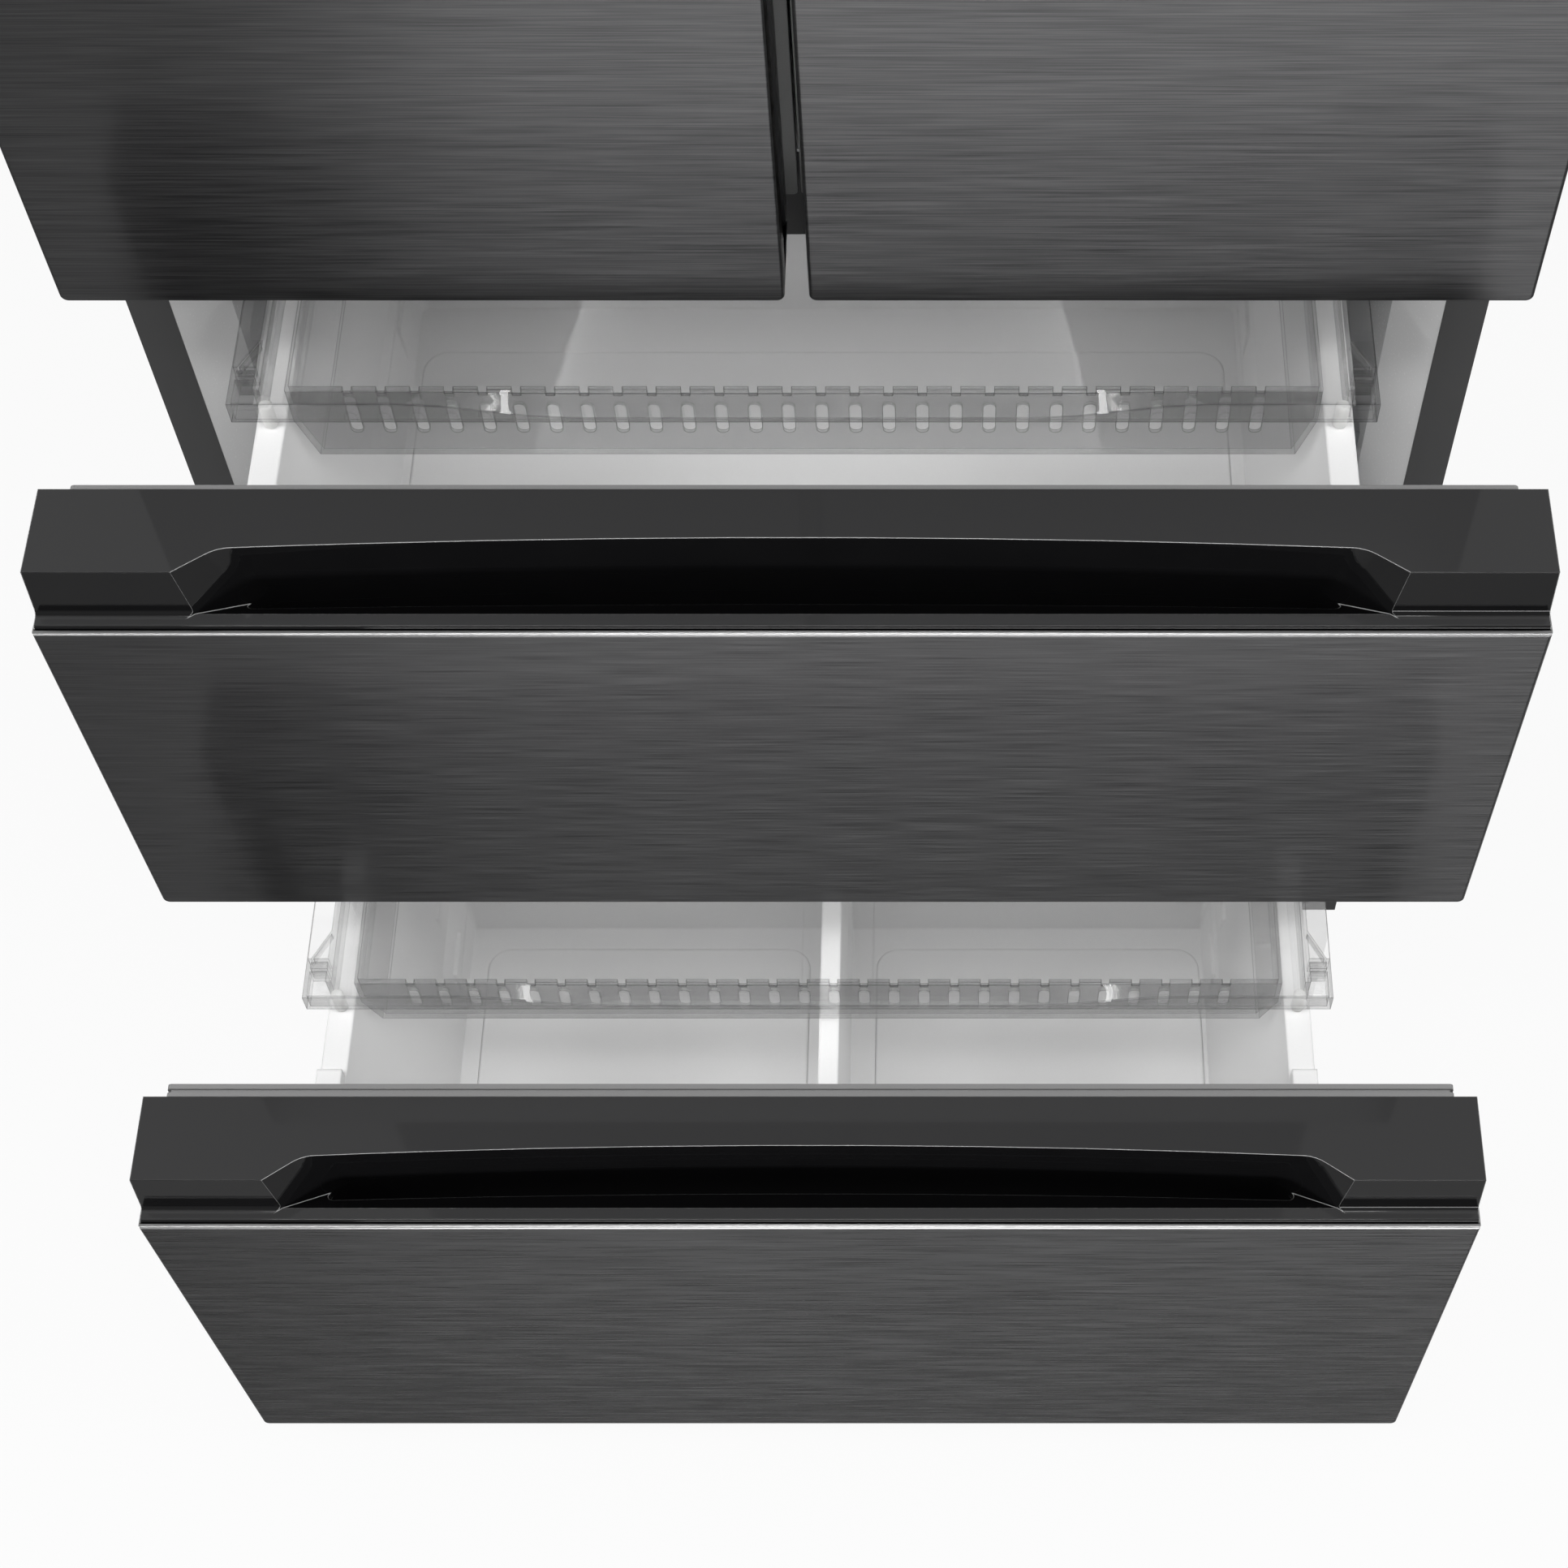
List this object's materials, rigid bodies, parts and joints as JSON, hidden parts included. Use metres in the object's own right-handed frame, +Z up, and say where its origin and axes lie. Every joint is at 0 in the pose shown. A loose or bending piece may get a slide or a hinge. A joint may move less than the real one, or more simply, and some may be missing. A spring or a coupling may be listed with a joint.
{
  "type": "fridge freezer",
  "caption": "French-door fridge freezer with two hinged upper doors and two freezer drawers standing open, each with a recessed grip cap, a white bin and a clear sliding tray",
  "frame": {"origin": "floor level, centred under the whole object with both drawers open as at rest", "axes": "+X to the right seen from the front, +Y from the front to the back, +Z up"},
  "size_m": [0.908, 1.166, 1.785],
  "materials": {
    "dark_paint": "satin",
    "grey_paint": "matte",
    "zinc_steel": "satin",
    "foam": "matte",
    "white_liner": "gloss",
    "dark_metal": "satin",
    "black_plastic": "satin",
    "black_metal": "satin",
    "fin_aluminium": "satin",
    "white_plastic": "satin",
    "clear_glass": "gloss",
    "clear_plastic": "gloss",
    "lamp_diffuser": "satin",
    "gloss_black": "gloss",
    "black_rubber": "matte",
    "grey_rubber": "matte",
    "black_steel": "satin"
  },
  "bodies": {
    "cabinet": {"cabinet_shell": "dark_paint", "back_panel": "grey_paint", "base_frame": "zinc_steel", "insulation": "foam", "fridge_liner": "white_liner", "freezer_liner": "white_liner", "cross_rails": "dark_paint", "hinges": "dark_metal", "hinge_covers": "black_plastic", "levelling_legs": "black_plastic", "kick_plate": "black_plastic", "machine_cover": "grey_paint", "compressor": "black_metal", "condenser": "black_metal", "evaporator": "fin_aluminium", "evaporator_cover": "white_plastic", "air_duct": "white_plastic", "glass_shelves": "clear_glass", "shelf_bars": "white_plastic", "interior_lamp": "lamp_diffuser", "control_panel": "gloss_black", "slide_outer_rails": "zinc_steel", "cord_gland": "black_rubber"},
    "left_door": {"left_door_panel": "black_steel", "left_door_core": "foam", "left_door_liner": "white_liner", "left_door_frame": "black_plastic", "left_door_gasket": "grey_rubber", "left_door_bins": "clear_plastic"},
    "right_door": {"right_door_panel": "black_steel", "right_door_core": "foam", "right_door_liner": "white_liner", "right_door_frame": "black_plastic", "right_door_gasket": "grey_rubber", "right_door_bins": "clear_plastic"},
    "centre_bar": {"centre_bar": "black_plastic"},
    "upper_drawer": {"upper_drawer_panel": "black_steel", "upper_drawer_cap": "gloss_black", "upper_drawer_core": "foam", "upper_drawer_liner": "white_liner", "upper_drawer_gasket": "grey_rubber", "upper_bin": "white_plastic", "upper_slide_inner": "zinc_steel"},
    "upper_slide": {"upper_slide_middle": "zinc_steel"},
    "upper_tray": {"upper_tray": "clear_plastic"},
    "lower_drawer": {"lower_drawer_panel": "black_steel", "lower_drawer_cap": "gloss_black", "lower_drawer_core": "foam", "lower_drawer_liner": "white_liner", "lower_drawer_gasket": "grey_rubber", "lower_bin": "white_plastic", "lower_slide_inner": "zinc_steel", "lower_divider": "white_plastic"},
    "lower_slide": {"lower_slide_middle": "zinc_steel"},
    "lower_tray": {"lower_tray": "clear_plastic"},
    "fan": {"evaporator_fan": "black_plastic"},
    "left_roller": {"rear_roller_left": "black_plastic"},
    "right_roller": {"rear_roller_right": "black_plastic"},
    "left_crisper": {"left_crisper": "clear_plastic"},
    "right_crisper": {"right_crisper": "clear_plastic"}
  },
  "joints": [
    {"name": "left_door_hinge", "type": "hinge", "parent": "cabinet", "child": "left_door", "pos_m": [-0.439, -0.127, 0.9115], "axis": [0, 0, 1], "range_deg": [-115, 0]},
    {"name": "right_door_hinge", "type": "hinge", "parent": "cabinet", "child": "right_door", "pos_m": [0.439, -0.127, 0.9115], "axis": [0, 0, 1], "range_deg": [0, 115]},
    {"name": "centre_bar_fold", "type": "hinge", "parent": "left_door", "child": "centre_bar", "pos_m": [-0.021, -0.0575, 0.985], "axis": [0, 0, 1], "range_deg": [-90, 0]},
    {"name": "upper_drawer_slide", "type": "slide", "parent": "cabinet", "child": "upper_drawer", "axis": [0, -1, 0], "range_m": [-0.2075, 0.2185]},
    {"name": "upper_slide_follow", "type": "slide", "parent": "cabinet", "child": "upper_slide", "axis": [0, -1, 0], "range_m": [-0.10375, 0.10925]},
    {"name": "upper_tray_slide", "type": "slide", "parent": "upper_drawer", "child": "upper_tray", "axis": [0, -1, 0], "range_m": [-0.034, 0.044]},
    {"name": "lower_drawer_slide", "type": "slide", "parent": "cabinet", "child": "lower_drawer", "axis": [0, -1, 0], "range_m": [-0.426, 0]},
    {"name": "lower_slide_follow", "type": "slide", "parent": "cabinet", "child": "lower_slide", "axis": [0, -1, 0], "range_m": [-0.213, 0]},
    {"name": "lower_tray_slide", "type": "slide", "parent": "lower_drawer", "child": "lower_tray", "axis": [0, -1, 0], "range_m": [-0.025, 0.044]},
    {"name": "fan_spin", "type": "hinge", "parent": "cabinet", "child": "fan", "pos_m": [0, 0.472, 0.8], "axis": [0, 1, 0], "continuous": true},
    {"name": "left_roller_spin", "type": "hinge", "parent": "cabinet", "child": "left_roller", "pos_m": [-0.4, 0.543, 0.02], "axis": [1, 0, 0], "continuous": true},
    {"name": "right_roller_spin", "type": "hinge", "parent": "cabinet", "child": "right_roller", "pos_m": [0.4, 0.543, 0.02], "axis": [1, 0, 0], "continuous": true},
    {"name": "left_crisper_slide", "type": "slide", "parent": "cabinet", "child": "left_crisper", "axis": [0, -1, 0], "range_m": [0, 0.075]},
    {"name": "right_crisper_slide", "type": "slide", "parent": "cabinet", "child": "right_crisper", "axis": [0, -1, 0], "range_m": [0, 0.075]}
  ],
  "couplings": [
    {"joint": "upper_slide_follow", "follows": "upper_drawer_slide", "ratio": 0.5},
    {"joint": "lower_slide_follow", "follows": "lower_drawer_slide", "ratio": 0.5}
  ]
}
